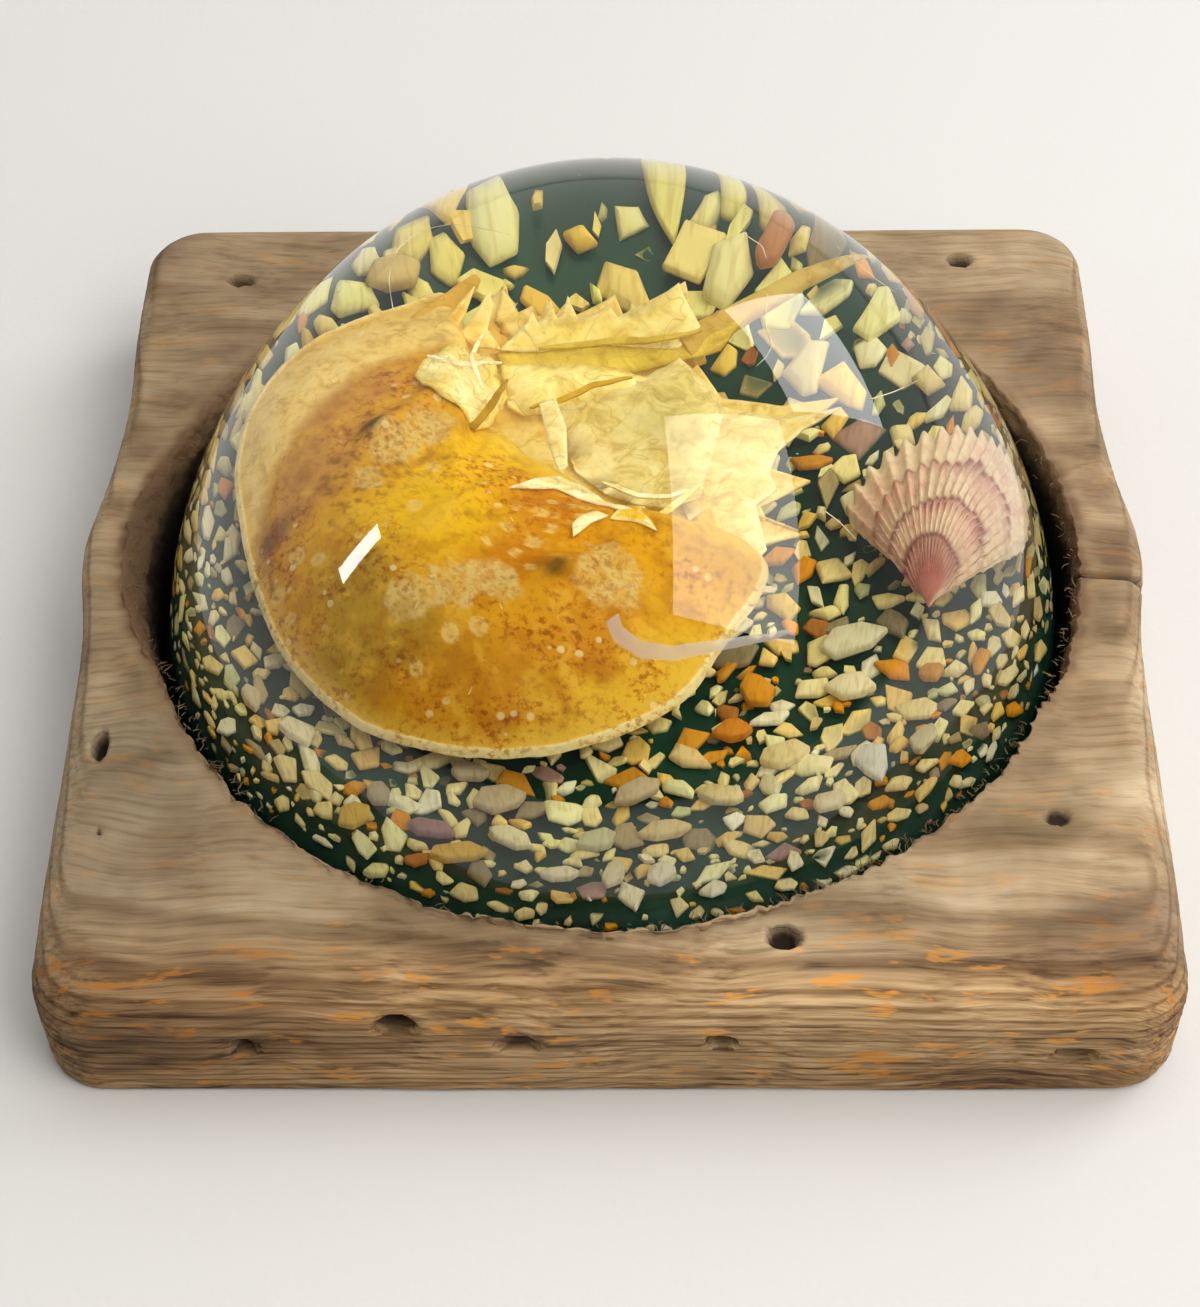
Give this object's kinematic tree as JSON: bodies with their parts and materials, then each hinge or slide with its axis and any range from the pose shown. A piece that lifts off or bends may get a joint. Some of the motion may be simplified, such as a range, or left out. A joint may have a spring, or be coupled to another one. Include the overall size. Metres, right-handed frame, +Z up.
{
  "type": "horseshoe crab and shells in a clear resin dome on a wood block",
  "caption": "Clear resin dome holding a horseshoe crab moult, a scallop and crushed shell over green resin, resting in the round recess of a weathered square wood block.",
  "frame": {"origin": "middle of the wood block's underside", "axes": "+Z up out of the dome's crown, -Y to the front of the block"},
  "size_m": [0.121, 0.118, 0.061],
  "materials": {
    "weathered_wood": "matte, grain raised by weather, worn edges",
    "clear_resin": "cast clear resin, glossy",
    "green_resin": "tinted cast resin under the clear dome",
    "broken_shell": "natural broken seashell, satin",
    "scallop": "natural ribbed seashell, satin",
    "moult": "natural dried horn-like shell, thin and half clear"
  },
  "bodies": {
    "root": {"green_resin_backing": "green_resin", "horseshoe_crab_moult": "moult", "resin_dome_lower": "clear_resin", "resin_dome_upper": "clear_resin", "scallop_shell": "scallop", "shell_chip_01": "broken_shell", "shell_chip_02": "broken_shell", "shell_chip_03": "broken_shell", "shell_chip_04": "broken_shell", "shell_chip_05": "broken_shell", "shell_chip_06": "broken_shell", "shell_chip_07": "broken_shell", "shell_chip_08": "broken_shell", "shell_chip_09": "broken_shell", "shell_chip_10": "broken_shell", "shell_chip_11": "broken_shell", "shell_chip_12": "broken_shell", "shell_chip_13": "broken_shell", "shell_chip_14": "broken_shell", "shell_chip_15": "broken_shell", "shell_chip_16": "broken_shell", "shell_chip_17": "broken_shell", "shell_chip_18": "broken_shell", "shell_chip_19": "broken_shell", "shell_chip_20": "broken_shell", "shell_chip_21": "broken_shell", "shell_chip_22": "broken_shell", "shell_chip_23": "broken_shell", "shell_chip_24": "broken_shell", "shell_chip_25": "broken_shell", "shell_chip_26": "broken_shell", "shell_chip_27": "broken_shell", "shell_chip_28": "broken_shell", "shell_chip_29": "broken_shell", "shell_chip_30": "broken_shell", "shell_chip_crust": "broken_shell", "wood_base": "weathered_wood"}
  },
  "joints": []
}
